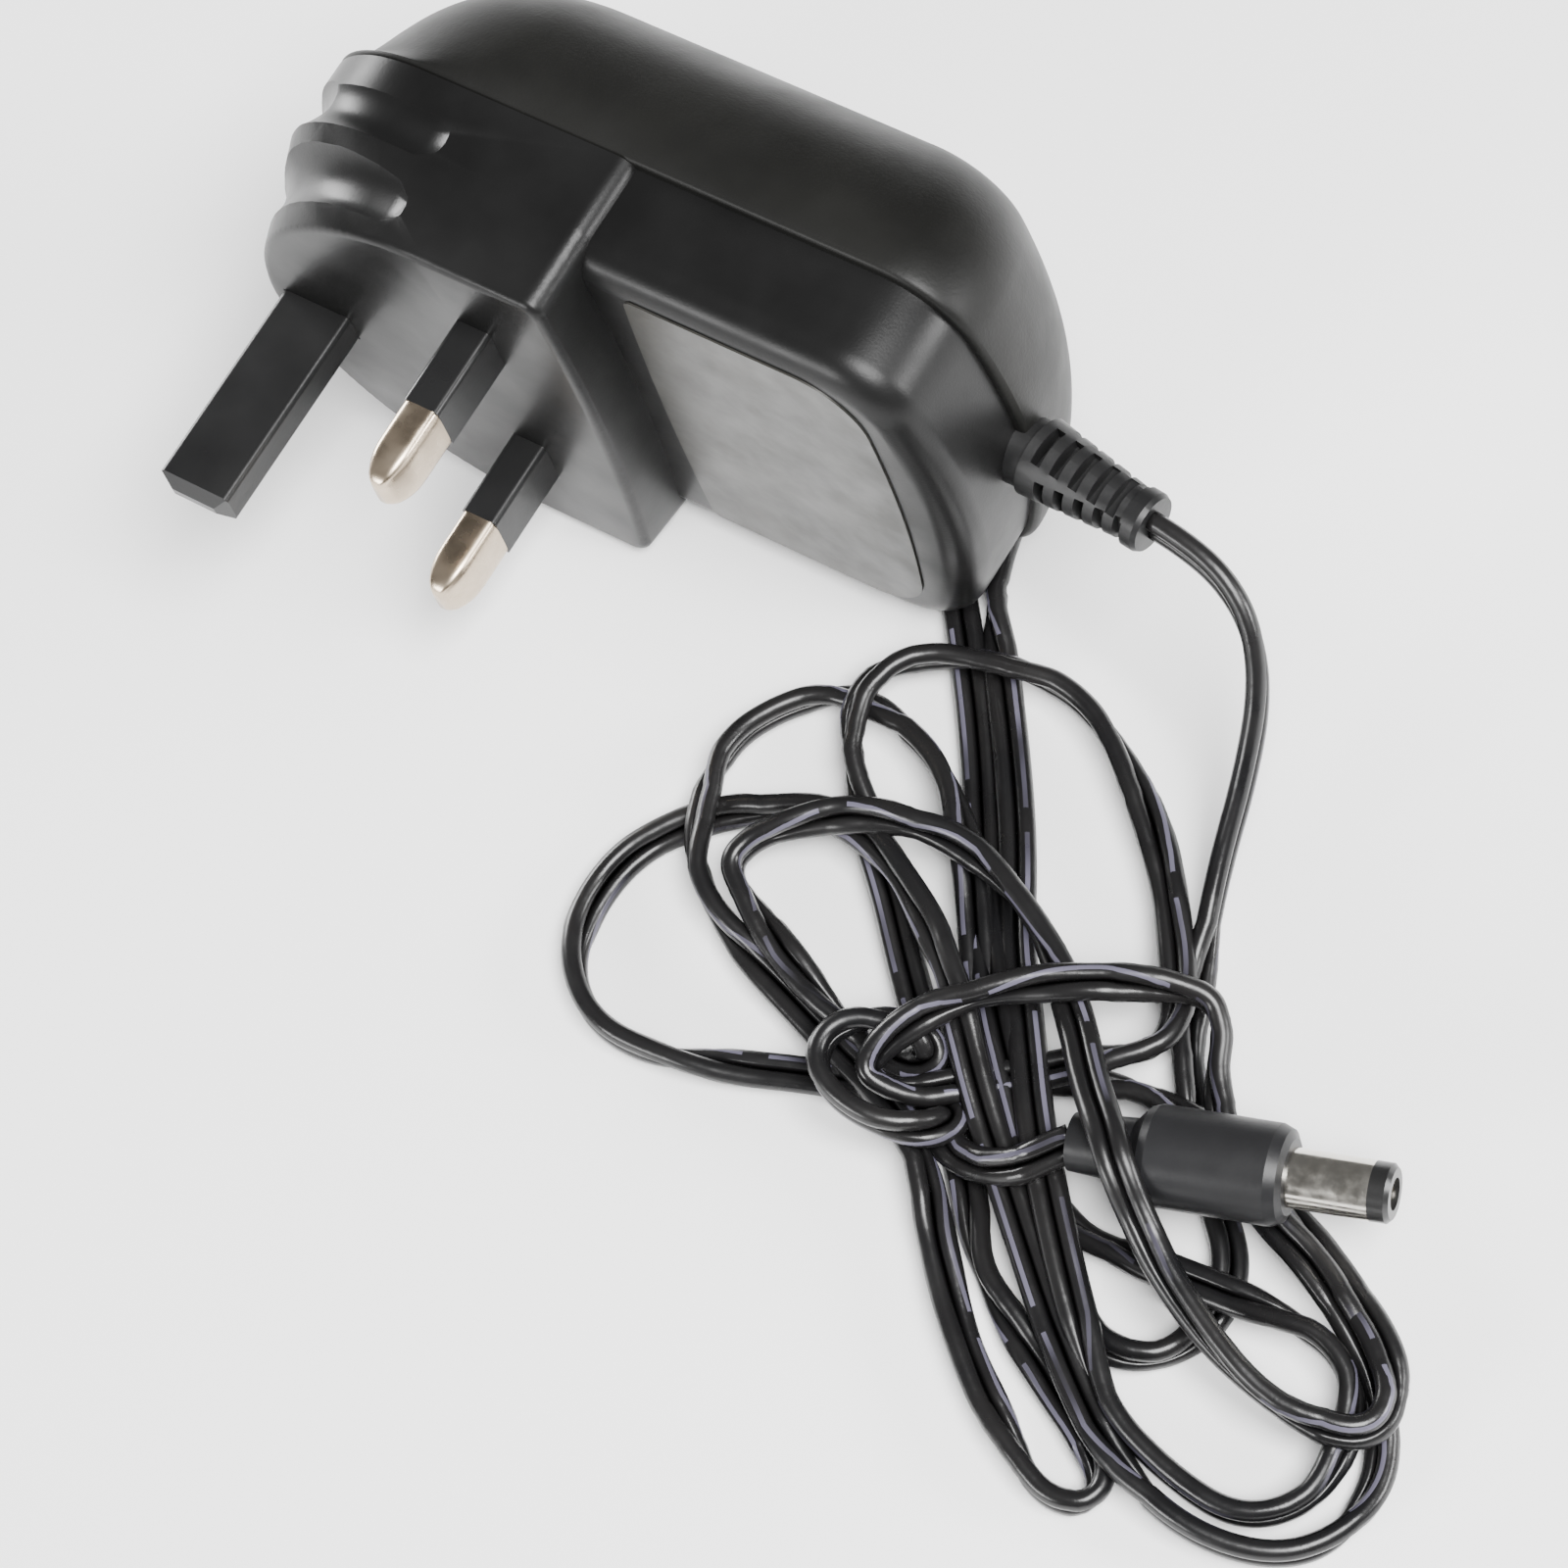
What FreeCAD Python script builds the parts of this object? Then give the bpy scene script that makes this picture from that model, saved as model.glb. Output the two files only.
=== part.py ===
import FreeCAD, Part
import Sketcher
import math
import os

# A plug-in DC power supply for a small train set, lying on its side on a table.
# Row frame: X along the case, from the earth pin towards the lead. The pins point to -Y. Z is up.
# The origin is on the table, under the middle of the adapter's box.
#
# Every piece of the adapter is drawn in the case frame: x along the case from the earth pin,
# y across the case (up, as it lies), and z out of the pin face. case_placement() turns that
# frame into the row frame.

Vector = FreeCAD.Vector
Rotation = FreeCAD.Rotation

doc = FreeCAD.newDocument("train_set_power_adapter")

# ---------------------------------------------------------------- driving sizes (mm)

SIZES = {
    # where the case frame stands in the row frame
    "shift_along": -39.0,
    "shift_depth": -7.0,
    "half_height": 25.2,
    # outline of the case
    "case_left": -7.0,
    "case_right": 70.7,
    "case_crown": 48.0,
    "end_crown": 62.0,
    "case_corner": 10.0,
    "wall": 2.0,
    "parting": -17.0,
    "back": -36.73,
    "straight_side": 0.6,
    "dome_inset": 17.5,
    # plug block and label tray of the front shell
    "face_half": 24.2,
    "face_left": -6.2,
    "face_nose": 14.0,
    "face_round": 26.0,
    "block_right": 34.0,
    "block_half": 25.2,
    "block_crown": 220.0,
    "block_corner": 2.2,
    "block_waist": -9.0,
    "face_edge": 1.0,
    "tray_top": -6.0,
    "tray_half": 24.0,
    "tray_right": 69.6,
    "tray_edge": 3.4,
    "tray_start": 22.0,
    "grip_radius": 3.3,
    "grip_sweep": 40.0,
    "grip_depth": 1.1,
    "grip_low": -3.4,
    "grip_high": -11.6,
    # mains pins, to the British three-pin standard
    "pin_row": 22.23,
    "pin_spread": 11.115,
    "pin_thick": 4.0,
    "pin_wide": 6.35,
    "pin_long": 17.7,
    "pin_root": -4.0,
    "sleeve_end": 9.2,
    "sleeve_wall": 0.65,
    "earth_long": 22.73,
    "earth_deep": 8.0,
    "earth_wide": 4.0,
    "pin_corner": 0.6,
    # label
    "label_left": 36.6,
    "label_right": 63.2,
    "label_half": 21.0,
    "label_corner": 7.0,
    "label_thick": 0.2,
    # strain relief, on the parting line
    "relief_inner": 65.4,
    "relief_neck": 67.6,
    "relief_collar": 71.6,
    "relief_end": 84.65,
    "relief_drop": 1.6,
    "relief_flange_r": 5.0,
    "relief_neck_r": 3.5,
    "relief_collar_r": 4.0,
    "relief_tip_r": 2.8,
    "relief_slot": 1.0,
    "relief_pitch": 2.1,
    "lead_radius": 1.5,
    # circuit board and what stands on it
    "board_top": -20.2,
    "board_thick": 1.6,
    "board_left": 4.0,
    "board_right": 63.0,
    "board_half": 19.0,
    # barrel plug
    "plug_x": 64.2,
    "plug_y": -42.9,
    "plug_z": 8.7,
    "plug_turn": 16.0,
    "plug_lift": 5.0,
    "plug_tail": 6.0,
    "plug_tail_r": 2.7,
    "plug_body": 20.6,
    "plug_body_r": 4.7,
    "barrel_r": 2.75,
    "barrel_end": 28.2,
    "barrel_tip": 30.1,
    "socket_r": 1.05,
    "contact_r": 1.5,
    "insulator_r": 2.3,
    # bundled lead
    "hank_high": 4.4,
    "knot_high": 15.6,
    "knot_half": 6.0,
    "knot_long": 14.0,
}

sheet = doc.addObject("Spreadsheet::Sheet", "Sizes")
for row, (alias, value) in enumerate(SIZES.items(), start=1):
    sheet.set("A%d" % row, alias)
    sheet.set("B%d" % row, str(value))
    sheet.setAlias("B%d" % row, alias)
doc.recompute()

pieces = []


def size(alias):
    """The value of one cell of the sheet."""
    return float(sheet.get(alias))


def bind(target, path, formula):
    """Tie one property to the sheet. Names in the formula are the sheet's aliases."""
    words = []
    for word in formula.split():
        words.append("Sizes." + word if word in SIZES else word)
    target.setExpression(path, " ".join(words))


# ---------------------------------------------------------------- helpers

def case_placement(piece):
    """Put a piece that was drawn in the case frame where the case lies."""
    quarter_turn = Rotation(Vector(1, 0, 0), 90)
    base = Vector(size("shift_along"), size("shift_depth"), size("half_height"))
    piece.Placement = FreeCAD.Placement(base, quarter_turn)
    if piece.TypeId == "PartDesign::Body":
        bind(piece, "Placement.Base.x", "shift_along")
        bind(piece, "Placement.Base.y", "shift_depth")
        bind(piece, "Placement.Base.z", "half_height")


def plug_placement(piece):
    """Put a piece of the barrel plug, drawn along its own x axis, where the plug lies."""
    turn = Rotation(Vector(0, 0, 1), size("plug_turn")) * Rotation(Vector(0, 1, 0), -size("plug_lift"))
    piece.Placement = FreeCAD.Placement(Vector(size("plug_x"), size("plug_y"), size("plug_z")), turn)
    bind(piece, "Placement.Base.x", "plug_x")
    bind(piece, "Placement.Base.y", "plug_y")
    bind(piece, "Placement.Base.z", "plug_z")


def new_body(label, place=case_placement):
    """An empty body for one sub-part."""
    body = doc.addObject("PartDesign::Body", label)
    body.Label = label
    place(body)
    pieces.append(body)
    return body


def new_sketch(body, role="XY_Plane", level=None):
    """A sketch on one of the body's origin planes, raised to a level from the sheet."""
    sketch = body.newObject("Sketcher::SketchObject", body.Name + "_sketch")
    for plane in body.Origin.OriginFeatures:
        if plane.Role == role:
            sketch.AttachmentSupport = [(plane, "")]
    sketch.MapMode = "FlatFace"
    if level:
        bind(sketch, "AttachmentOffset.Base.z", level)
    return sketch


def add_rectangle(sketch, left, right, low, high):
    """A rectangle whose four sides are formulas from the sheet."""
    values = [evaluate(formula) for formula in (left, right, low, high)]
    corners = [(values[0], values[2]), (values[1], values[2]), (values[1], values[3]), (values[0], values[3])]
    first = sketch.GeometryCount
    for start, end in zip(corners, corners[1:] + corners[:1]):
        sketch.addGeometry(Part.LineSegment(Vector(*start, 0), Vector(*end, 0)), False)
    for side in range(4):
        following = first + (side + 1) % 4
        sketch.addConstraint(Sketcher.Constraint("Coincident", first + side, 2, following, 1))
        direction = "Horizontal" if side % 2 == 0 else "Vertical"
        sketch.addConstraint(Sketcher.Constraint(direction, first + side))
    for kind, point, value, formula in (("DistanceX", 1, values[0], left), ("DistanceY", 1, values[2], low)):
        number = sketch.addConstraint(Sketcher.Constraint(kind, -1, 1, first, point, value))
        bind(sketch, "Constraints[%d]" % number, formula)
    for kind, value, formula in (("DistanceX", values[1], right), ("DistanceY", values[3], high)):
        number = sketch.addConstraint(Sketcher.Constraint(kind, -1, 1, first + 2, 1, value))
        bind(sketch, "Constraints[%d]" % number, formula)


def add_circle(sketch, x, y, radius):
    """A circle whose centre and radius are formulas from the sheet."""
    values = [evaluate(formula) for formula in (x, y, radius)]
    circle = Part.Circle(Vector(values[0], values[1], 0), Vector(0, 0, 1), values[2])
    number = sketch.addGeometry(circle, False)
    for kind, value, formula in (("DistanceX", values[0], x), ("DistanceY", values[1], y)):
        if formula == "0":
            kind_on_axis = "PointOnObject"
            axis = -2 if kind == "DistanceX" else -1
            sketch.addConstraint(Sketcher.Constraint(kind_on_axis, number, 3, axis))
        else:
            index = sketch.addConstraint(Sketcher.Constraint(kind, -1, 1, number, 3, value))
            bind(sketch, "Constraints[%d]" % index, formula)
    index = sketch.addConstraint(Sketcher.Constraint("Radius", number, values[2]))
    bind(sketch, "Constraints[%d]" % index, radius)


def evaluate(formula):
    """The number that a formula of sheet aliases, + - * / and numbers stands for."""
    total = 0.0
    sign = 1.0
    term = None
    operator = None
    for word in formula.split():
        if word in ("+", "-"):
            total += sign * (term or 0.0)
            sign = 1.0 if word == "+" else -1.0
            term = None
        elif word in ("*", "/"):
            operator = word
        else:
            value = size(word) if word in SIZES else float(word)
            if term is None:
                term = value
            elif operator == "*":
                term *= value
            else:
                term /= value
    return total + sign * (term or 0.0)


class Outline:
    """A long closed outline, the same above and below the x axis, of eight tangent edges.

    Two straight sides at plus and minus half, and at each end a shallow crown
    between two rounded corners.
    """

    def __init__(self, left, right, half, left_crown, left_corner, right_crown, right_corner):
        self.left = left
        self.right = right
        self.half = half
        self.left_crown = left_crown
        self.left_corner = left_corner
        self.right_crown = right_crown
        self.right_corner = right_corner

    def inset(self, amount):
        """The same outline drawn in by an amount, its round corners kept."""
        half = self.half - amount

        def drawn_in(corner):
            smaller = max(corner - 0.25 * amount, 0.6)
            return smaller if corner > self.half else min(smaller, 0.8 * half)

        return Outline(self.left + amount, self.right - amount, half,
                       self.left_crown - 0.5 * amount, drawn_in(self.left_corner),
                       self.right_crown - 0.5 * amount, drawn_in(self.right_corner))

    def end_points(self, tip, side, crown, corner):
        """Centres and joints at one end. side is +1 at the right end, -1 at the left."""
        crown_x = tip - side * crown
        rise = self.half - corner
        reach = math.sqrt((crown - corner) ** 2 - rise ** 2)
        if crown > corner:
            corner_x = crown_x + side * reach
            joint_x = crown_x + (corner_x - crown_x) * crown / (crown - corner)
            joint_y = rise * crown / (crown - corner)
        else:
            corner_x = crown_x - side * reach
            span = corner - crown
            joint_x = corner_x + (crown_x - corner_x) * corner / span
            joint_y = rise - rise * corner / span
        return crown_x, corner_x, joint_x, joint_y

    def edges(self):
        """Eight edges, clockwise from the upper straight side."""
        _, right_x, right_jx, right_jy = self.end_points(self.right, 1, self.right_crown, self.right_corner)
        _, left_x, left_jx, left_jy = self.end_points(self.left, -1, self.left_crown, self.left_corner)
        half = self.half

        def corner_middle(cx, corner, jx, jy, sign):
            cy = half - corner
            start = Vector(0, 1, 0)
            end = Vector(jx - cx, jy - cy, 0).normalize()
            middle = (start + end).normalize()
            return Vector(cx + middle.x * corner, sign * (cy + middle.y * corner), 0)

        a = Vector(left_x, half, 0)
        b = Vector(right_x, half, 0)
        c = Vector(right_jx, right_jy, 0)
        d = Vector(right_jx, -right_jy, 0)
        e = Vector(right_x, -half, 0)
        f = Vector(left_x, -half, 0)
        g = Vector(left_jx, -left_jy, 0)
        k = Vector(left_jx, left_jy, 0)
        return [
            Part.LineSegment(a, b),
            Part.Arc(b, corner_middle(right_x, self.right_corner, right_jx, right_jy, 1), c),
            Part.Arc(c, Vector(self.right, 0, 0), d),
            Part.Arc(d, corner_middle(right_x, self.right_corner, right_jx, right_jy, -1), e),
            Part.LineSegment(e, f),
            Part.Arc(f, corner_middle(left_x, self.left_corner, left_jx, left_jy, -1), g),
            Part.Arc(g, Vector(self.left, 0, 0), k),
            Part.Arc(k, corner_middle(left_x, self.left_corner, left_jx, left_jy, 1), a),
        ]

    def wire(self, level):
        """The outline as a closed wire at one level."""
        wire = Part.Wire([edge.toShape() for edge in self.edges()])
        wire.translate(Vector(0, 0, level))
        return wire


def prism(outline, low, high):
    """A solid of one outline between two levels."""
    face = Part.Face(outline.wire(low))
    return face.extrude(Vector(0, 0, high - low))


def skin(outlines, levels, ruled=False):
    """A solid skinned over outlines at rising or falling levels."""
    wires = [outline.wire(level) for outline, level in zip(outlines, levels)]
    return Part.makeLoft(wires, True, ruled)


def box(left, right, low, high, bottom, top):
    """A block between six planes."""
    return Part.makeBox(right - left, high - low, top - bottom, Vector(left, low, bottom))


def bar(x, y, along, across, low, high):
    """A square bar along z round a point of the pin face."""
    return box(x - along / 2, x + along / 2, y - across / 2, y + across / 2, low, high)


def rod(x, y, z, axis, radius, length):
    """A round rod from a point along an axis."""
    return Part.makeCylinder(radius, length, Vector(x, y, z), axis)


def add_feature(label, shape, place=case_placement):
    """A sub-part whose shape is set directly."""
    feature = doc.addObject("Part::Feature", label)
    feature.Label = label
    feature.Shape = shape
    if place:
        place(feature)
    pieces.append(feature)
    return feature


def rounded_edges(shape, radius, chosen):
    """Fillet the edges that the test picks."""
    edges = [edge for edge in shape.Edges if chosen(edge)]
    return shape.makeFillet(radius, edges)


def at_level(level):
    """A test for edges that lie flat at one level."""
    return lambda edge: (abs(edge.BoundBox.ZMin - level) < 1e-4 and abs(edge.BoundBox.ZMax - level) < 1e-4)


# ---------------------------------------------------------------- case

case_outline = Outline(size("case_left"), size("case_right"), size("half_height"),
                       size("case_crown"), size("case_corner") + 4.0,
                       size("end_crown"), size("case_corner"))
face_outline = Outline(size("face_left"), size("block_right") - 0.5, size("face_half"),
                       size("face_nose"), size("face_round"),
                       size("block_crown"), size("block_corner"))
block_outline = Outline(size("case_left"), size("block_right"), size("block_half"),
                        size("case_crown"), size("case_corner") + 4.0,
                        size("block_crown"), size("block_corner"))
tray_outline = Outline(size("tray_start"), size("tray_right"), size("tray_half"),
                       size("block_crown"), size("block_corner"),
                       size("end_crown"), size("case_corner") - 1.0)


def dome(outline, floor, top, inset):
    """A dome over an outline: a straight side, then a quarter ellipse to a flat back.

    The earth-pin end gets rounder as it rises, until it is nearly a half circle.
    """
    steps = 5
    rounder = 30.0
    start = floor - size("straight_side")
    outlines = [outline]
    levels = [floor]
    for step in range(steps + 1):
        angle = math.radians(90.0 * step / steps)
        drawn_in = outline.inset(inset * (1 - math.cos(angle)))
        drawn_in.left_corner = min(outline.left_corner + rounder * math.sin(angle), 0.93 * drawn_in.half)
        outlines.append(drawn_in)
        levels.append(start + (top - start) * math.sin(angle))
    side = prism(outline, start, floor)
    cap = skin(outlines[1:], levels[1:])
    return side.fuse(cap).removeSplitter()


def relief_hole(radius):
    """The round way through the end wall, on the parting line."""
    return rod(size("relief_inner") - 4.0, 0, size("parting"), Vector(1, 0, 0), radius, 30.0)


def build_back_shell():
    """The domed rear half of the case, an even wall all round."""
    wall = size("wall")
    outer = dome(case_outline, size("parting"), size("back"), size("dome_inset"))
    inner = dome(case_outline.inset(wall), size("parting"), size("back") + wall, size("dome_inset") - wall)
    shell = outer.cut(inner).cut(relief_hole(size("relief_neck_r")))
    return add_feature("back_shell", shell)


def grip_cutter(level):
    """A ring that presses one shallow finger grip into the earth-pin end.

    The ring is a little tighter than the end's crown, so the grip fades out at the corners.
    """
    minor = size("grip_radius")
    away = minor - size("grip_depth")
    sweep = size("grip_sweep")
    centre = Vector(size("case_left") + sweep, 0, level)
    return Part.makeTorus(sweep + away, minor, centre, Vector(0, 0, 1))


def pin_opening(x, y, along, across):
    """A square way through the pin face, the size of a pin's root."""
    return bar(x, y, along, across, size("pin_root"), 1.0)


def build_front_shell():
    """The plug block, its finger grips and the tray that carries the label."""
    parting = size("parting")
    wall = size("wall")
    edge = size("face_edge")
    waist = size("block_waist")
    block = rounded_edges(skin([face_outline, block_outline], [0.0, waist], ruled=True), edge, at_level(0.0))
    block = block.fuse(prism(block_outline, parting, waist))
    for level in (size("grip_low"), size("grip_high")):
        block = block.cut(grip_cutter(level))
    tray = prism(tray_outline, parting, size("tray_top"))
    tray = rounded_edges(tray, size("tray_edge"), at_level(size("tray_top")))
    shell = block.fuse(tray)
    inner_face = face_outline.inset(wall + 1.0)
    inner_block = block_outline.inset(wall + 1.0)
    cavity = skin([inner_face, inner_block], [-wall - 0.4, waist], ruled=True)
    cavity = cavity.fuse(prism(inner_block, parting - 1.0, waist))
    cavity = cavity.fuse(prism(tray_outline.inset(wall), parting - 1.0, size("tray_top") - wall - 0.6))
    shell = shell.cut(cavity).cut(relief_hole(size("relief_neck_r")))
    row = size("pin_row")
    for side in (-1, 1):
        across = size("pin_wide")
        shell = shell.cut(pin_opening(row, side * size("pin_spread"), size("pin_thick"), across))
    shell = shell.cut(pin_opening(0.0, 0.0, size("earth_deep"), size("earth_wide")))
    return add_feature("front_shell", shell)


def build_label():
    """The blank grey label on the tray."""
    outline = Outline(size("label_left"), size("label_right"), size("label_half"),
                      400.0, 1.0, 150.0, size("label_corner"))
    shape = prism(outline, size("tray_top"), size("tray_top") + size("label_thick"))
    return add_feature("label", shape)


# ---------------------------------------------------------------- mains pins

def rounded_bar(x, y, along, across, low, high):
    """A square bar along z with its four long edges rounded."""
    long_edge = high - low
    return rounded_edges(bar(x, y, along, across, low, high), size("pin_corner"),
                         lambda edge: abs(edge.BoundBox.ZMax - edge.BoundBox.ZMin - long_edge) < 1e-4)


def bullet_tip(x, y, along, across, low, high, draw_in):
    """The bullet nose of a pin: a bar that narrows faster and faster to a small flat end."""
    wires = []
    for share, drawn in ((0.0, 0.0), (0.45, 0.16), (0.8, 0.5), (1.0, 1.0)):
        inset = drawn * draw_in
        level = low + share * (high - low)
        reach_x = along / 2 - inset
        reach_y = across / 2 - inset
        signs = ((-1, -1), (1, -1), (1, 1), (-1, 1))
        corners = [Vector(x + a * reach_x, y + b * reach_y, level) for a, b in signs]
        wires.append(Part.makePolygon(corners + corners[:1]))
    return Part.makeLoft(wires, True, True)


def build_power_pins():
    """Live and neutral: a metal pin with a thinner shank, in an insulating sleeve."""
    along = size("pin_thick")
    across = size("pin_wide")
    thinner = 2 * size("sleeve_wall")
    nose = size("pin_long") - 2.4
    end = size("sleeve_end")
    root = size("pin_root")
    x = size("pin_row")
    for name, side in (("live", -1), ("neutral", 1)):
        y = side * size("pin_spread")
        shank = bar(x, y, along - thinner, across - thinner, root - 3.0, end)
        blade = rounded_bar(x, y, along, across, end, nose)
        tip = bullet_tip(x, y, along - 0.1, across - 0.1, nose, size("pin_long"), 1.35)
        add_feature(name + "_pin", shank.fuse([blade, tip]).removeSplitter())
        sleeve = rounded_bar(x, y, along, across, 0.0, end).fuse(bar(x, y, along, across, root, 0.0))
        add_feature(name + "_sleeve", sleeve.cut(shank).removeSplitter())


def edge_names(feature, test):
    """Names of a feature's edges that pass a test on the shape in its own frame."""
    return ["Edge%d" % (n + 1) for n, edge in enumerate(feature.Shape.Edges) if test(edge)]


def build_earth_pin():
    """The plastic earth pin that opens the socket's shutters."""
    body = new_body("earth_pin")
    sketch = new_sketch(body, level="pin_root")
    add_rectangle(sketch, "0 - earth_deep / 2", "earth_deep / 2", "0 - earth_wide / 2", "earth_wide / 2")
    pad = body.newObject("PartDesign::Pad", "earth_pad")
    pad.Profile = sketch
    pad.Length = size("earth_long") - size("pin_root")
    bind(pad, "Length", "earth_long - pin_root")
    doc.recompute()
    chamfer = body.newObject("PartDesign::Chamfer", "earth_chamfer")
    chamfer.Base = (pad, edge_names(pad, at_level(size("earth_long"))))
    chamfer.ChamferType = 1
    chamfer.Size = 0.9
    chamfer.Size2 = 1.5
    doc.recompute()
    long_edges = edge_names(chamfer, lambda edge: edge.BoundBox.ZMax - edge.BoundBox.ZMin > 15.0)
    fillet = body.newObject("PartDesign::Fillet", "earth_fillet")
    fillet.Base = (chamfer, long_edges)
    fillet.Radius = size("pin_corner")
    bind(fillet, "Radius", "pin_corner")


def build_contacts():
    """Brass strips from the pin roots to the circuit board."""
    row = size("pin_row")
    spread = size("pin_spread")
    root = size("pin_root") - 3.0
    for name, side in (("live_contact", -1), ("neutral_contact", 1)):
        y = side * spread
        foot = box(row + 0.7, row + 1.3, y - 2.5, y + 2.5, size("board_top"), root - 0.8)
        arm = box(row - 1.9, row + 1.3, y - 2.5, y + 2.5, root - 0.8, root)
        add_feature(name, foot.fuse(arm).removeSplitter())


# ---------------------------------------------------------------- strain relief

def relief_axis():
    """The root of the sleeve on the parting line, and the way the sleeve leans to its end."""
    root = Vector(size("relief_collar"), 0, size("parting"))
    lean = Vector(size("relief_end") - size("relief_collar"), 0, size("relief_drop"))
    return root, lean


def turned_along_x(points, root):
    """A solid turned from (x, radius) points, x counted from the root."""
    wire = Part.makePolygon([root + Vector(x, radius, 0) for x, radius in points + points[:1]])
    return Part.Face(wire).revolve(root, Vector(1, 0, 0), 360)


def relief_slots(root):
    """Cutters for five short slots on each of four sides, every second pair half a pitch on."""
    wide = size("relief_slot")
    pitch = size("relief_pitch")
    bridge = 1.7
    deep = 5.0
    reach = 2.1
    cutters = []
    for number in range(5):
        start = root.x + 1.0 + number * pitch
        end = start + wide
        later = pitch / 2
        for inner, outer in ((bridge, deep), (-deep, -bridge)):
            cutters.append(box(start, end, inner, outer, root.z - reach, root.z + reach))
            cutters.append(box(start + later, end + later, -reach, reach, root.z + inner, root.z + outer))
    return cutters


def build_strain_relief():
    """A moulded sleeve: flange and neck in the case, then a slotted taper that leans a little."""
    root, lean = relief_axis()
    long = lean.Length
    collar_r = size("relief_collar_r")
    neck_r = size("relief_neck_r")
    tip_r = size("relief_tip_r")
    flange_r = size("relief_flange_r")
    inner = size("relief_inner") - root.x
    neck = size("relief_neck") - root.x
    held = turned_along_x([(inner, 0), (inner, flange_r), (neck, flange_r), (neck, neck_r),
                           (0.6, neck_r), (0.6, 0)], root)
    cap = long - 1.9
    sleeve = turned_along_x([(0, 0), (0, collar_r), (cap, tip_r - 0.1), (cap, tip_r + 0.25),
                             (long - 0.5, tip_r + 0.25), (long, tip_r), (long, 0)], root)
    sleeve = sleeve.cut(relief_slots(root))
    sleeve.rotate(root, Vector(0, 1, 0), -math.degrees(math.atan2(lean.z, lean.x)))
    return add_feature("strain_relief", held.fuse(sleeve))


# ---------------------------------------------------------------- circuit

def build_circuit():
    """The board and its parts, which fill the dome behind the tray."""
    top = size("board_top")
    under = top - size("board_thick")
    body = new_body("circuit_board")
    sketch = new_sketch(body, level="board_top - board_thick")
    add_rectangle(sketch, "board_left", "board_right", "0 - board_half", "board_half")
    pad = body.newObject("PartDesign::Pad", "board_pad")
    pad.Profile = sketch
    pad.Length = size("board_thick")
    bind(pad, "Length", "board_thick")
    along = Vector(1, 0, 0)
    across = Vector(0, 1, 0)
    down = Vector(0, 0, -1)
    # transformer: winding on a bobbin, held in a ferrite core
    bobbin = box(30.0, 44.0, -8.0, 8.0, under - 2.0, under)
    bobbin = bobbin.fuse(box(32.5, 41.5, -8.0, -6.8, under - 11.0, under - 2.0))
    bobbin = bobbin.fuse(box(32.5, 41.5, 6.8, 8.0, under - 11.0, under - 2.0))
    add_feature("transformer_bobbin", bobbin)
    winding = box(32.7, 41.3, -6.6, 6.6, under - 10.6, under - 2.2)
    winding = rounded_edges(winding, 1.5, lambda e: abs(e.BoundBox.YMax - e.BoundBox.YMin - 13.2) < 1e-4)
    add_feature("transformer_winding", winding)
    core = box(29.5, 32.4, -6.4, 6.4, under - 10.8, under - 2.2)
    core = core.fuse(box(41.6, 44.5, -6.4, 6.4, under - 10.8, under - 2.2))
    core = core.fuse(box(29.5, 44.5, -6.4, 6.4, under - 12.6, under - 10.8))
    add_feature("transformer_core", core)
    # two bulk capacitors lie side by side on the mains side
    cans = rod(9.0, 5.2, under - 4.3, along, 4.0, 12.0).fuse(rod(9.0, -5.2, under - 4.3, along, 4.0, 12.0))
    add_feature("bulk_capacitors", cans)
    add_feature("fuse_resistor", rod(7.0, -14.0, under - 2.4, along, 2.0, 8.0))
    choke = rod(24.6, -12.0, under - 0.2, down, 3.5, 1.0).fuse(rod(24.6, -12.0, under - 1.2, down, 2.6, 5.0))
    choke = choke.fuse(rod(24.6, -12.0, under - 6.2, down, 3.5, 1.0))
    add_feature("input_choke", choke)
    diodes = None
    for number in range(4):
        diode = rod(8.2 + 3.4 * number, 11.2, under - 1.6, across, 1.3, 4.4)
        diodes = diode if diodes is None else diodes.fuse(diode)
    add_feature("rectifier_diodes", diodes)
    add_feature("switching_chip", box(22.0, 28.4, 8.0, 17.0, under - 3.8, under - 0.4))
    add_feature("opto_coupler", box(32.0, 36.6, 11.0, 17.4, under - 3.8, under - 0.4))
    add_feature("y_capacitor", rod(36.0, -13.4, under - 4.3, along, 3.8, 3.4))
    add_feature("output_diode", rod(47.0, -14.0, under - 3.0, along, 2.6, 9.0))
    add_feature("output_capacitor", rod(46.2, 6.5, under - 5.3, along, 5.0, 12.0))


# ---------------------------------------------------------------- barrel plug

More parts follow.
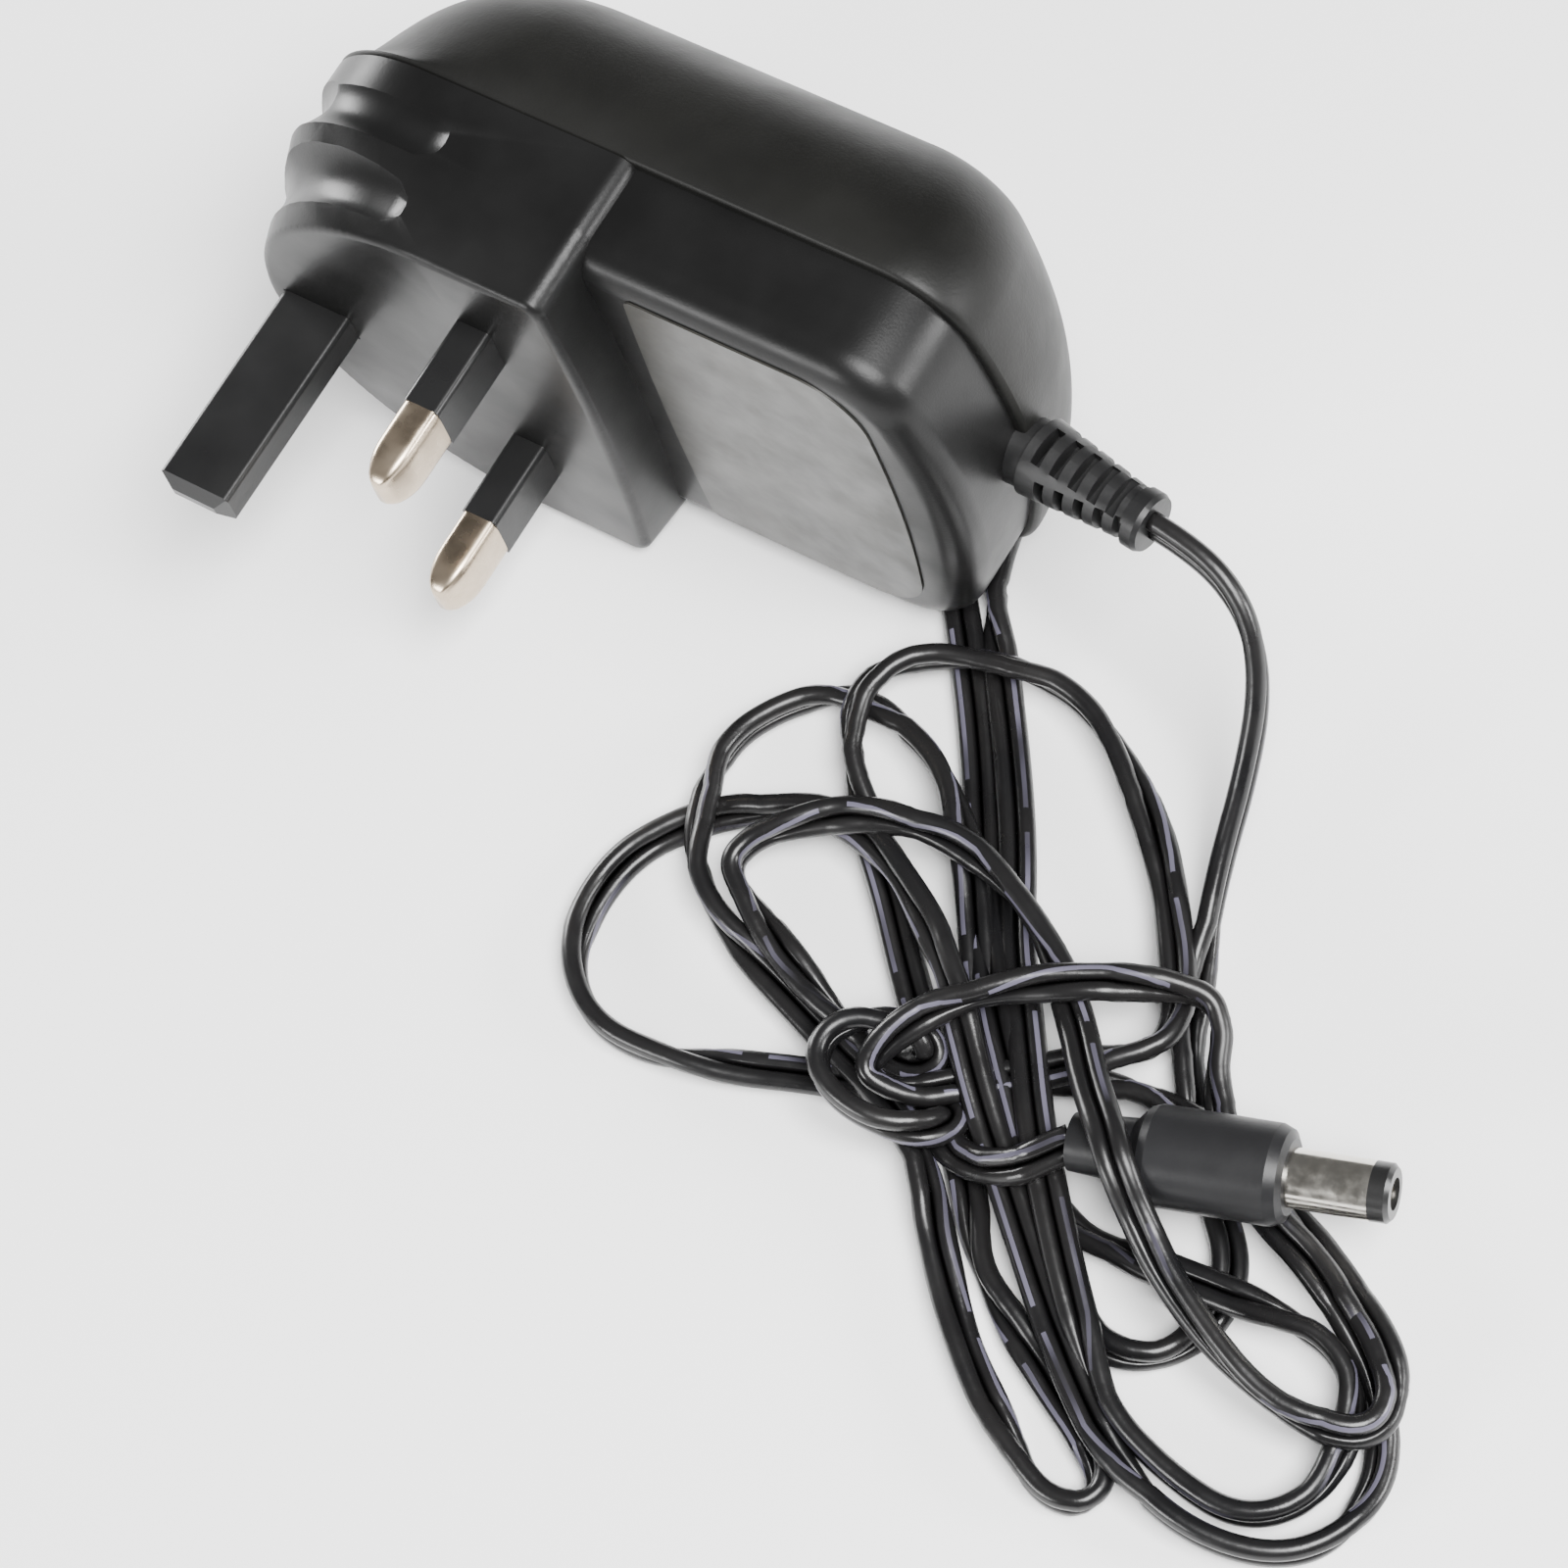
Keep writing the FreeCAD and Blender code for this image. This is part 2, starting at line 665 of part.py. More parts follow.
def revolved(label, outline, place=plug_placement):
    """A turned piece: a sketch of (x, radius) formulas spun round the x axis."""
    body = new_body(label, place)
    sketch = new_sketch(body, "XY_Plane")
    values = [(evaluate(x), evaluate(radius)) for x, radius in outline]
    count = len(values)
    for number, start in enumerate(values):
        end = values[(number + 1) % count]
        sketch.addGeometry(Part.LineSegment(Vector(*start, 0), Vector(*end, 0)), False)
    for number in range(count):
        sketch.addConstraint(Sketcher.Constraint("Coincident", number, 2, (number + 1) % count, 1))
    for number, (x, radius) in enumerate(outline):
        for kind, formula in (("DistanceX", x), ("DistanceY", radius)):
            value = evaluate(formula)
            if formula == "0":
                axis = -2 if kind == "DistanceX" else -1
                sketch.addConstraint(Sketcher.Constraint("PointOnObject", number, 1, axis))
                continue
            index = sketch.addConstraint(Sketcher.Constraint(kind, -1, 1, number, 1, value))
            bind(sketch, "Constraints[%d]" % index, formula)
    turned = body.newObject("PartDesign::Revolution", label + "_turned")
    turned.Profile = sketch
    turned.ReferenceAxis = (sketch, ["H_Axis"])
    turned.Angle = 360
    return body


def build_barrel_plug():
    """Moulded handle, metal barrel, insulating nose and the centre contact."""
    revolved("plug_handle", [
        ("0", "0"), ("0", "plug_tail_r"), ("plug_tail", "plug_tail_r + 0.4"),
        ("plug_tail + 1.2", "plug_body_r - 0.3"), ("plug_tail + 2.0", "plug_body_r"),
        ("plug_body - 1.4", "plug_body_r"), ("plug_body - 0.4", "plug_body_r - 0.4"),
        ("plug_body", "plug_body_r - 1.2"), ("plug_body", "0")])
    revolved("plug_barrel", [
        ("plug_body", "insulator_r"), ("plug_body", "barrel_r"),
        ("barrel_end", "barrel_r"), ("barrel_end", "insulator_r")])
    revolved("plug_insulator", [
        ("plug_body", "contact_r"), ("plug_body", "insulator_r"), ("barrel_end", "insulator_r"),
        ("barrel_end", "barrel_r"), ("barrel_tip - 0.4", "barrel_r"), ("barrel_tip", "barrel_r - 0.4"),
        ("barrel_tip", "contact_r")])
    revolved("plug_contact", [
        ("plug_body", "socket_r"), ("plug_body", "contact_r"),
        ("barrel_tip - 0.5", "contact_r"), ("barrel_tip - 0.5", "socket_r")])


# ---------------------------------------------------------------- lead

# The lead from the strain relief to where it joins the bundle.
LEAD_ROUTE = [
    (45.65, 8.4, 25.2),
    (49.565, 7.92, 25.2),
    (54.3, 6.7, 23.9),
    (57.8, 4.5, 20.9),
    (60.0, 0.8, 16.0),
    (61.0, -5.0, 10.4),
    (61.7, -11.6, 5.9),
    (63.2, -17.8, 3.2),
    (65.0, -23.2, 2.2),
    (66.7, -28.3, 2.2),
]


def corner_arc(before, corner, after, largest):
    """The arc that rounds one corner of a route, with its two tangent points."""
    back = before - corner
    ahead = after - corner
    turn = math.pi - back.getAngle(ahead)
    radius = largest / math.tan(turn / 2)
    back.normalize()
    ahead.normalize()
    start = corner + back * largest
    end = corner + ahead * largest
    bisector = (back + ahead).normalize()
    centre = corner + bisector * (radius / math.cos(turn / 2))
    middle = centre - bisector * radius
    return start, middle, end, radius


def rounded_path(route):
    """Straight runs joined by tangent arcs, each as large as its two runs allow."""
    points = [Vector(*point) for point in route]
    runs = [(second - first).Length for first, second in zip(points, points[1:])]
    edges = []
    radii = []
    last = points[0]
    for number in range(1, len(points) - 1):
        largest = 0.45 * min(runs[number - 1], runs[number])
        start, middle, end, radius = corner_arc(points[number - 1], points[number], points[number + 1], largest)
        edges.append(Part.LineSegment(last, start).toShape())
        edges.append(Part.Arc(start, middle, end).toShape())
        radii.append(radius)
        last = end
    edges.append(Part.LineSegment(last, points[-1]).toShape())
    return Part.Wire(edges), radii


def build_lead():
    """The lead as a plain round tube of its own outer size."""
    path, radii = rounded_path(LEAD_ROUTE)
    first = Vector(*LEAD_ROUTE[0])
    radius = size("lead_radius")
    ring = Part.Circle(first, Vector(*LEAD_ROUTE[1]) - first, radius)
    tube = path.makePipeShell([Part.Wire([ring.toShape()])], True, False)
    add_feature("cord_lead", tube, None)
    print("lead radii:", ["%.1f" % value for value in radii])
    print("lead length %.1f, volume %.1f, section times length %.1f"
          % (path.Length, tube.Volume, math.pi * radius ** 2 * path.Length))


# The outer shape of the bundled lead on the table, going round from the joint with the lead.
HANK_OUTLINE = [
    (64.23, -29.12), (69.17, -27.48), (72.6, -33.5), (84.0, -42.5), (96.5, -43.4),
    (101.5, -49.0), (104.4, -57.0), (101.0, -66.0), (95.0, -70.0), (85.5, -71.0), (76.5, -73.6),
    (67.5, -69.0), (59.0, -61.0), (50.5, -52.6), (44.0, -48.8), (36.0, -49.6), (25.0, -53.2),
    (14.8, -52.8), (8.4, -47.0), (5.4, -39.5), (8.0, -32.0), (10.0, -22.0), (13.4, -15.0),
    (20.0, -9.0), (22.0, -4.6), (26.6, -3.0), (36.5, 0.4), (45.5, -2.6), (56.0, -10.0), (59.4, -17.2),
]


def build_hank():
    """The bundle as one closed solid: a low slab, and the knot at its waist against the plug."""
    corners = [Vector(x, y, 0) for x, y in HANK_OUTLINE]
    outline = Part.makePolygon(corners + corners[:1])
    slab = Part.Face(outline).extrude(Vector(0, 0, size("hank_high")))
    half = size("knot_half")
    knot = box(-size("knot_long"), 0, -half, half, -size("plug_z") - 4.0, size("knot_high") - size("plug_z"))
    turn = Rotation(Vector(0, 0, 1), size("plug_turn")) * Rotation(Vector(0, 1, 0), -size("plug_lift"))
    knot.Placement = FreeCAD.Placement(Vector(size("plug_x"), size("plug_y"), size("plug_z")), turn)
    above_table = box(0, 120, -120, 40, 0, 60)
    knot = knot.common(above_table)
    add_feature("cord_hank", slab.fuse(knot).removeSplitter(), None)


# ---------------------------------------------------------------- build and export

def check():
    """Stop if an object failed or a sub-part is not one or more valid solids."""
    for item in doc.Objects:
        if "Invalid" in item.State or "Error" in item.State:
            raise RuntimeError("failed object: %s %s" % (item.Name, item.State))
    for piece in pieces:
        shape = piece.Shape
        if shape.isNull() or not shape.isValid() or not shape.Solids:
            raise RuntimeError("bad shape: %s" % piece.Label)


def export():
    """Write one STEP file for each sub-part."""
    os.makedirs("parts", exist_ok=True)
    for piece in pieces:
        piece.Shape.exportStep("parts/%s.step" % piece.Label)
        bounds = piece.Shape.BoundBox
        print("%-22s solids %d volume %9.1f  x %7.2f %7.2f  y %7.2f %7.2f  z %7.2f %7.2f"
              % (piece.Label, len(piece.Shape.Solids), piece.Shape.Volume,
                 bounds.XMin, bounds.XMax, bounds.YMin, bounds.YMax, bounds.ZMin, bounds.ZMax))


build_front_shell()
build_back_shell()
build_label()
build_power_pins()
build_earth_pin()
build_contacts()
build_strain_relief()
build_circuit()
build_barrel_plug()
build_lead()
build_hank()
doc.recompute()
check()
export()
print("sub-parts:", len(pieces))
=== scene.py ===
# %% [markdown]
# # A train set's plug-in power adapter
#
# The object is a small mains adapter that feeds a train set's controller: a domed black case
# with three British pins, a slotted strain relief, a thin two-core lead tied in a loose bundle,
# and a round barrel plug. It lies on its side on a table.
#
# The exact parts come ready made from the CAD frame: pins, barrel, board. This script adds what
# the CAD keeps plain: the moulded case, the loose lead strand by strand, and every finish.
# Each step says first what the real piece is, how it could be made, and why this way was taken.

# %% Load the frame
import math

import bmesh
import bpy
import numpy as np
from mathutils import Matrix, Vector


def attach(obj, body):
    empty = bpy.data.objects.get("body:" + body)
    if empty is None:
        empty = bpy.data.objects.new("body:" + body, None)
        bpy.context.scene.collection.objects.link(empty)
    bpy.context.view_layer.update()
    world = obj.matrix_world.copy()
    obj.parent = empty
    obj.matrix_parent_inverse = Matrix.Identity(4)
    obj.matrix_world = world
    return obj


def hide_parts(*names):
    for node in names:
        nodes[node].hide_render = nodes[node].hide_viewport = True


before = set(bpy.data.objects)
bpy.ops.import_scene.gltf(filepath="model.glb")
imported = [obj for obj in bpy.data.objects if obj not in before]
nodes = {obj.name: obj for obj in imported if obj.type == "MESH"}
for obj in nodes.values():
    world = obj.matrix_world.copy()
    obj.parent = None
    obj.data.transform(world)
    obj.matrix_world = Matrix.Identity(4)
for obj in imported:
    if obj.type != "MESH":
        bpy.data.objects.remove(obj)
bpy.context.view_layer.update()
print("CAD pieces:", len(nodes))

# %% [markdown]
# ## Camera
#
# A camera can be aimed with a constraint or by hand. Here it is placed by its location, the point
# of the table it looks at, and a roll: the picture is tilted, so the pins point to the left and
# the bundle hangs below the case. A long lens keeps the case nearly free of perspective.

# %% Camera
CAMERA_PLACE = Vector((0.1957, -0.1523, 0.4328))
CAMERA_AIM = Vector((0.0180, -0.0218, 0.0))
CAMERA_ROLL = math.radians(-24.6)
CAMERA_LENS = 115.4

camera_data = bpy.data.cameras.new("camera")
camera_data.lens = CAMERA_LENS
camera_data.sensor_width = 36.0
camera_data.clip_start = 0.01
camera = bpy.data.objects.new("camera", camera_data)
bpy.context.scene.collection.objects.link(camera)
aim = (CAMERA_AIM - CAMERA_PLACE).to_track_quat("-Z", "Y")
camera.matrix_world = Matrix.Translation(CAMERA_PLACE) @ aim.to_matrix().to_4x4() @ Matrix.Rotation(
    CAMERA_ROLL, 4, "Z")
bpy.context.scene.camera = camera
print("camera at", tuple(round(x, 3) for x in CAMERA_PLACE))

# %% [markdown]
# ## Table and light
#
# Black plastic shows its shape only by what it mirrors, so the lamps matter more than the colour.
# Large area lamps give the broad soft bands that run along the case and each strand of the lead.
# A pale table and a pale surround fill the shadows.

# %% Table and lamps
def area_lamp(name, place, target, width, height, watts):
    """A rectangular soft lamp that faces a point."""
    data = bpy.data.lights.new(name, "AREA")
    data.shape = "RECTANGLE"
    data.size = width
    data.size_y = height
    data.energy = watts
    lamp = bpy.data.objects.new(name, data)
    bpy.context.scene.collection.objects.link(lamp)
    lamp.location = place
    lamp.rotation_euler = (Vector(target) - Vector(place)).to_track_quat("-Z", "Y").to_euler()
    return lamp


area_lamp("lamp_above", (0.42, -0.10, 0.80), (0.0, 0.0, 0.0), 0.50, 0.40, 26.0)
area_lamp("lamp_left", (-0.70, 0.12, 0.16), (-0.02, 0.0, 0.03), 0.30, 0.22, 7.0)
area_lamp("lamp_front", (-0.25, -0.75, 0.30), (0.0, 0.0, 0.02), 0.35, 0.20, 6.0)
area_lamp("lamp_right", (0.70, 0.30, 0.28), (0.0, 0.0, 0.02), 0.30, 0.20, 6.0)

surround = bpy.data.worlds.new("surround")
bpy.context.scene.world = surround
surround.use_nodes = True
surround.node_tree.nodes["Background"].inputs["Color"].default_value = (1.0, 1.0, 1.0, 1.0)
surround.node_tree.nodes["Background"].inputs["Strength"].default_value = 0.16

table_mesh = bpy.data.meshes.new("table")
half_table = 3.0
table_mesh.from_pydata(
    [(-half_table, -half_table, 0), (half_table, -half_table, 0), (half_table, half_table, 0),
     (-half_table, half_table, 0)], [], [(0, 1, 2, 3)])
table = bpy.data.objects.new("table", table_mesh)
bpy.context.scene.collection.objects.link(table)

# %% [markdown]
# ## Finishes
#
# Every finish here is a small node tree on the Principled shader. Moulded plastic is never a flat
# colour: the tool leaves a fine spark-eroded grain, gates and handling leave faint cloudy patches
# in the gloss, and edges polish a little. Noise textures in object space give the grain and the
# patches at their real size, with no need to unwrap the pieces; the polished edges are not drawn.
# Values that are the same all over stay on the shader's own sockets.

# %% Finish helpers
class Finish:
    """A new material with a few shorthand calls for its nodes."""

    def __init__(self, name, colour, roughness, metallic=0.0):
        self.material = bpy.data.materials.new(name)
        self.material.use_nodes = True
        self.tree = self.material.node_tree
        self.shader = self.tree.nodes["Principled BSDF"]
        self.colour = colour
        self.shader.inputs["Base Color"].default_value = (*colour, 1.0)
        self.shader.inputs["Roughness"].default_value = roughness
        self.shader.inputs["Metallic"].default_value = metallic
        self.place = self.node("ShaderNodeTexCoord").outputs["Object"]
        self.last_bump = None

    def dull(self, level):
        """Lower the mirror part of the surface, as on a fine matt texture."""
        self.shader.inputs["Specular IOR Level"].default_value = level

    def node(self, kind, **settings):
        made = self.tree.nodes.new(kind)
        for key, value in settings.items():
            setattr(made, key, value)
        return made

    def link(self, source, target):
        self.tree.links.new(source, target)

    def noise(self, size, detail=2.0, stretch=(1.0, 1.0, 1.0)):
        """Noise whose patches are about the given size in metres."""
        mapping = self.node("ShaderNodeMapping")
        mapping.inputs["Scale"].default_value = stretch
        self.link(self.place, mapping.inputs["Vector"])
        noise = self.node("ShaderNodeTexNoise")
        noise.inputs["Scale"].default_value = 1.0 / size
        noise.inputs["Detail"].default_value = detail
        self.link(mapping.outputs["Vector"], noise.inputs["Vector"])
        return noise.outputs["Fac"]

    def spread(self, value, low, high, at_low=0.3, at_high=0.7):
        """Map a noise value to a range."""
        ramp = self.node("ShaderNodeMapRange")
        ramp.inputs["From Min"].default_value = at_low
        ramp.inputs["From Max"].default_value = at_high
        ramp.inputs["To Min"].default_value = low
        ramp.inputs["To Max"].default_value = high
        self.link(value, ramp.inputs["Value"])
        return ramp.outputs["Result"]

    def roughness(self, value, low, high):
        self.link(self.spread(value, low, high), self.shader.inputs["Roughness"])

    def tint(self, factor, other):
        """Mix the base colour towards another where the factor is 1. Calls stack."""
        mix = self.node("ShaderNodeMix", data_type="RGBA")
        before = self.shader.inputs["Base Color"]
        if before.links:
            self.link(before.links[0].from_socket, mix.inputs["A"])
        else:
            mix.inputs["A"].default_value = (*self.colour, 1.0)
        mix.inputs["B"].default_value = (*other, 1.0)
        self.link(factor, mix.inputs["Factor"])
        self.link(mix.outputs["Result"], before)

    def bump(self, height, depth, strength=1.0):
        """Raise the surface by a height map, depth in metres. Calls stack."""
        bump = self.node("ShaderNodeBump")
        bump.inputs["Strength"].default_value = strength
        bump.inputs["Distance"].default_value = depth
        self.link(height, bump.inputs["Height"])
        if self.last_bump:
            self.link(self.last_bump.outputs["Normal"], bump.inputs["Normal"])
        self.link(bump.outputs["Normal"], self.shader.inputs["Normal"])
        self.last_bump = bump


def moulded(name, colour, rough_low, rough_high, grain_size, grain_depth, lighter):
    """Moulded plastic: fine grain, cloudy gloss and slightly paler worn patches."""
    finish = Finish(name, colour, 0.5 * (rough_low + rough_high))
    finish.roughness(finish.noise(0.009, 3.0), rough_low, rough_high)
    finish.tint(finish.spread(finish.noise(0.016, 4.0), 0.0, 1.0), lighter)
    finish.bump(finish.noise(grain_size, 2.0), grain_depth)
    return finish


def paint(piece, material):
    """Give a piece one material."""
    piece.data.materials.clear()
    piece.data.materials.append(material)
    for polygon in piece.data.polygons:
        polygon.material_index = 0


table_finish = Finish("table_pale", (0.93, 0.93, 0.93), 0.6)
table_finish.roughness(table_finish.noise(0.05, 3.0), 0.5, 0.62)
table_finish.bump(table_finish.noise(0.002, 2.0), 0.00002)
paint(table, table_finish.material)

# %% [markdown]
# ## Case, label and pins
#
# The case is ABS or polycarbonate, moulded in two halves. The tool is spark eroded, so the faces
# have a fine matt grain; the dome has been handled more and shines in broad soft patches. The
# label is a silver-grey foil; here it is blank. The live and
# neutral pins are nickel-plated brass with an insulating sleeve, and the earth pin is plastic.
# The CAD shell has the grips on the end only. In the real case each grip runs round the corner
# and a little way along the side, which a boolean cut with a swept tube gives.

# %% Case, label and pins
def dress(finish, *names):
    """Give CAD pieces a finish."""
    for name in names:
        paint(nodes[name], finish.material)


dome = moulded("case_black_back", (0.0045, 0.0045, 0.0042), 0.38, 0.50, 0.00035, 0.000016,
               (0.0085, 0.0085, 0.0078))
dome.dull(0.18)
dome.bump(dome.noise(0.0011, 2.0), 0.00001)

MERGE_DISTANCE = 0.000002
GRIP_RADIUS = 0.0042
GRIP_DEPTH = 0.0007
GRIP_REACH = 0.0155
SIDE_START = 0.0210
GRIP_DEPTHS = (0.0034, 0.0112)
BLOCK_WAIST = 0.0090
CASE_MIDDLE = 0.0252
CASE_SHIFT = Vector((-0.0390, -0.0070, CASE_MIDDLE))


def half_end(left, half, crown, corner):
    """The upper half of the earth-pin end as (x, up): the side, a corner arc, the crown arc."""
    crown_x = left + crown
    rise = half - corner
    reach = math.sqrt((crown - corner) ** 2 - rise ** 2)
    corner_x = crown_x - reach if crown > corner else crown_x + reach
    share = crown / (crown - corner)
    joint = (crown_x + (corner_x - crown_x) * share, rise * share)
    points = [(SIDE_START + (corner_x - SIDE_START) * step / 3, half) for step in range(3)]
    turn = math.atan2(joint[1] - rise, joint[0] - corner_x) % (2 * math.pi)
    for step in range(13):
        angle = math.radians(90.0) + (turn - math.radians(90.0)) * step / 12
        points.append((corner_x + corner * math.cos(angle), rise + corner * math.sin(angle)))
    turn = math.atan2(joint[1], joint[0] - crown_x)
    for step in range(1, 7):
        angle = turn + (math.pi - turn) * step / 6
        points.append((crown_x + crown * math.cos(angle), crown * math.sin(angle)))
    return points


FACE_END = half_end(-0.0062, 0.0242, 0.0140, 0.0260)
BLOCK_END = half_end(-0.0070, 0.0252, 0.0480, 0.0140)


def grip_path(depth):
    """Points round the block's end at a depth behind the pin face, moved out to the tube's axis."""
    share = min(depth / BLOCK_WAIST, 1.0)
    upper = [Vector((a[0] + (b[0] - a[0]) * share, depth, a[1] + (b[1] - a[1]) * share))
             for a, b in zip(FACE_END, BLOCK_END)]
    upper = [place for place in upper if place.x < GRIP_REACH]
    path = upper + [Vector((p.x, p.y, -p.z)) for p in reversed(upper[:-1])]
    away = GRIP_RADIUS - GRIP_DEPTH
    moved = []
    for number, place in enumerate(path):
        along = path[min(number + 1, len(path) - 1)] - path[max(number - 1, 0)]
        outward = along.normalized().cross(Vector((0.0, -1.0, 0.0)))
        moved.append(place + outward * away + CASE_SHIFT)
    return moved


def grip_cutter(depth):
    """A tube with round ends that lies along the end of the block, at a depth behind the pin face."""
    path = grip_path(depth)
    made = bmesh.new()
    rings = []
    count = 28
    for number, place in enumerate(path):
        along = (path[min(number + 1, len(path) - 1)] - path[max(number - 1, 0)]).normalized()
        across = Vector((0.0, 1.0, 0.0))
        outward = along.cross(across)
        rings.append((place, along, across, outward, GRIP_RADIUS))
    first, last = rings[0], rings[-1]
    cap = [(math.sin(math.radians(a)), math.cos(math.radians(a))) for a in (72, 50, 26)]
    head = [(first[0] - first[1] * GRIP_RADIUS * out, *first[1:4], GRIP_RADIUS * shrink)
            for out, shrink in cap]
    tail = [(last[0] + last[1] * GRIP_RADIUS * out, *last[1:4], GRIP_RADIUS * shrink)
            for out, shrink in reversed(cap)]
    corners = []
    for place, along, across, outward, radius in head + rings + tail:
        ring = []
        for step in range(count):
            angle = 2 * math.pi * step / count
            offset = across * (radius * math.cos(angle)) + outward * (radius * math.sin(angle))
            ring.append(made.verts.new(place + offset))
        corners.append(ring)
    for ring, following in zip(corners, corners[1:]):
        for step in range(count):
            nextstep = (step + 1) % count
            made.faces.new((ring[step], ring[nextstep], following[nextstep], following[step]))
    made.faces.new(list(reversed(corners[0])))
    made.faces.new(corners[-1])
    bmesh.ops.recalc_face_normals(made, faces=made.faces)
    mesh = bpy.data.meshes.new("grip_cutter")
    made.to_mesh(mesh)
    made.free()
    cutter = bpy.data.objects.new("grip_cutter", mesh)
    bpy.context.scene.collection.objects.link(cutter)
    return cutter


def copy_in_world(source, name):
    """A separate copy of a CAD piece, its points already in world metres."""
    mesh = source.data.copy()
    mesh.transform(source.matrix_world)
    mesh.name = name
    piece = bpy.data.objects.new(name, mesh)
    bpy.context.scene.collection.objects.link(piece)
    return piece


def cut(piece, cutters):
    """Cut each cutter out of a piece and delete the cutters."""
    for cutter in cutters:
        change = piece.modifiers.new("cut", "BOOLEAN")
        change.operation = "DIFFERENCE"
        change.solver = "EXACT"
        change.object = cutter
    view = bpy.context.evaluated_depsgraph_get()
    result = bpy.data.meshes.new_from_object(piece.evaluated_get(view))
    piece.modifiers.clear()
    piece.data = result
    for cutter in cutters:
        bpy.data.objects.remove(cutter)


def smooth_by_angle(piece, degrees):
    """Smooth faces, with sharp edges kept where the surface turns more than an angle."""
    made = bmesh.new()
    made.from_mesh(piece.data)
    bmesh.ops.remove_doubles(made, verts=made.verts, dist=MERGE_DISTANCE)
    for face in made.faces:
        face.smooth = True
    for edge in made.edges:
        edge.smooth = len(edge.link_faces) == 2 and edge.calc_face_angle(0.0) < math.radians(degrees)
    made.to_mesh(piece.data)
    made.free()


front_piece = copy_in_world(nodes["front_shell"], "front_shell_gripped")
cut(front_piece, [grip_cutter(depth) for depth in GRIP_DEPTHS])
smooth_by_angle(front_piece, 28.0)
print("front shell:", len(front_piece.data.vertices), "vertices")


def rounded_rim(piece, level, width):
    """Round the outer rim of the dome where it meets the front half, at one level along Y."""
    made = bmesh.new()
    made.from_mesh(piece.data)
    bmesh.ops.remove_doubles(made, verts=made.verts, dist=MERGE_DISTANCE)
    rim = []
    for edge in made.edges:
        flat = all(abs(vert.co.y - level) < 0.00002 for vert in edge.verts)
        if flat and len(edge.link_faces) == 2 and edge.calc_face_angle(0.0) > math.radians(60.0):
            middle = (edge.verts[0].co + edge.verts[1].co) / 2
            outward = max(face.calc_center_median().y for face in edge.link_faces) - level
            side = [face for face in edge.link_faces if abs(face.normal.y) < 0.5][:1]
            centre = Vector((0.0, level, CASE_MIDDLE))
            if outward > 0 and side and side[0].normal.dot(middle - centre) > 0:
                rim.append(edge)
    bmesh.ops.bevel(made, geom=rim, offset=width, segments=3, profile=0.5, affect="EDGES")
    made.to_mesh(piece.data)
    made.free()
    return len(rim)


RIM_LEVEL = 0.0100
RIM_WIDTH = 0.0006
back_piece = copy_in_world(nodes["back_shell"], "back_shell_rounded")
print("rim edges:", rounded_rim(back_piece, RIM_LEVEL, RIM_WIDTH))
smooth_by_angle(back_piece, 30.0)

front = moulded("case_black", (0.0038, 0.0038, 0.0038), 0.28, 0.40, 0.00025, 0.000010,
                (0.0075, 0.0075, 0.0075))
front.dull(0.20)
front.bump(front.noise(0.0045, 3.0), 0.000015)
for shell, finish, slot_name, stands_for in (
        (front_piece, front, "case_black", "front_shell"),
        (back_piece, dome, "case_black_back", "back_shell")):
    paint(shell, finish.material)
    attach(shell, "root")
    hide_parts(stands_for)

foil = Finish("label_grey", (0.022, 0.022, 0.020), 0.36, 0.30)
foil.roughness(foil.noise(0.004, 4.0), 0.28, 0.44)
foil.tint(foil.spread(foil.noise(0.008, 5.0), 0.0, 1.0), (0.042, 0.041, 0.036))
foil.bump(foil.noise(0.0009, 3.0), 0.000008)
dress(foil, "label")

sleeve = moulded("pin_black", (0.0065, 0.0065, 0.0068), 0.26, 0.40, 0.0004, 0.000008, (0.012, 0.012, 0.012))
sleeve.dull(0.30)
dress(sleeve, "earth_pin", "live_sleeve", "neutral_sleeve")

# A real pin ends in a smooth bullet nose. The rings below shrink towards the tip along a curve.
PIN_LONG = 0.0177
PIN_NOSE = 0.0044
PIN_HALF = (0.0020, 0.003175)
SHANK_THIN = 0.00065
SHANK_ROOT = -0.0070
SLEEVE_END = 0.0092
PIN_ROW_X = -0.01677
PIN_FACE_Y = -0.0070
PIN_HEIGHTS = (("live_pin", 0.014085), ("neutral_pin", 0.036315))
PIN_RING_POINTS = 40
NOSE_STEPS = 9


def pin_ring(half_x, half_up, count=PIN_RING_POINTS, square=5.0):
    """A rounded rectangle as points (x, up): a superellipse."""
    ring = []
    for step in range(count):
        angle = 2 * math.pi * step / count
        c, s = math.cos(angle), math.sin(angle)
        ring.append((math.copysign(abs(c) ** (2 / square), c) * half_x,
                     math.copysign(abs(s) ** (2 / square), s) * half_up))
    return ring


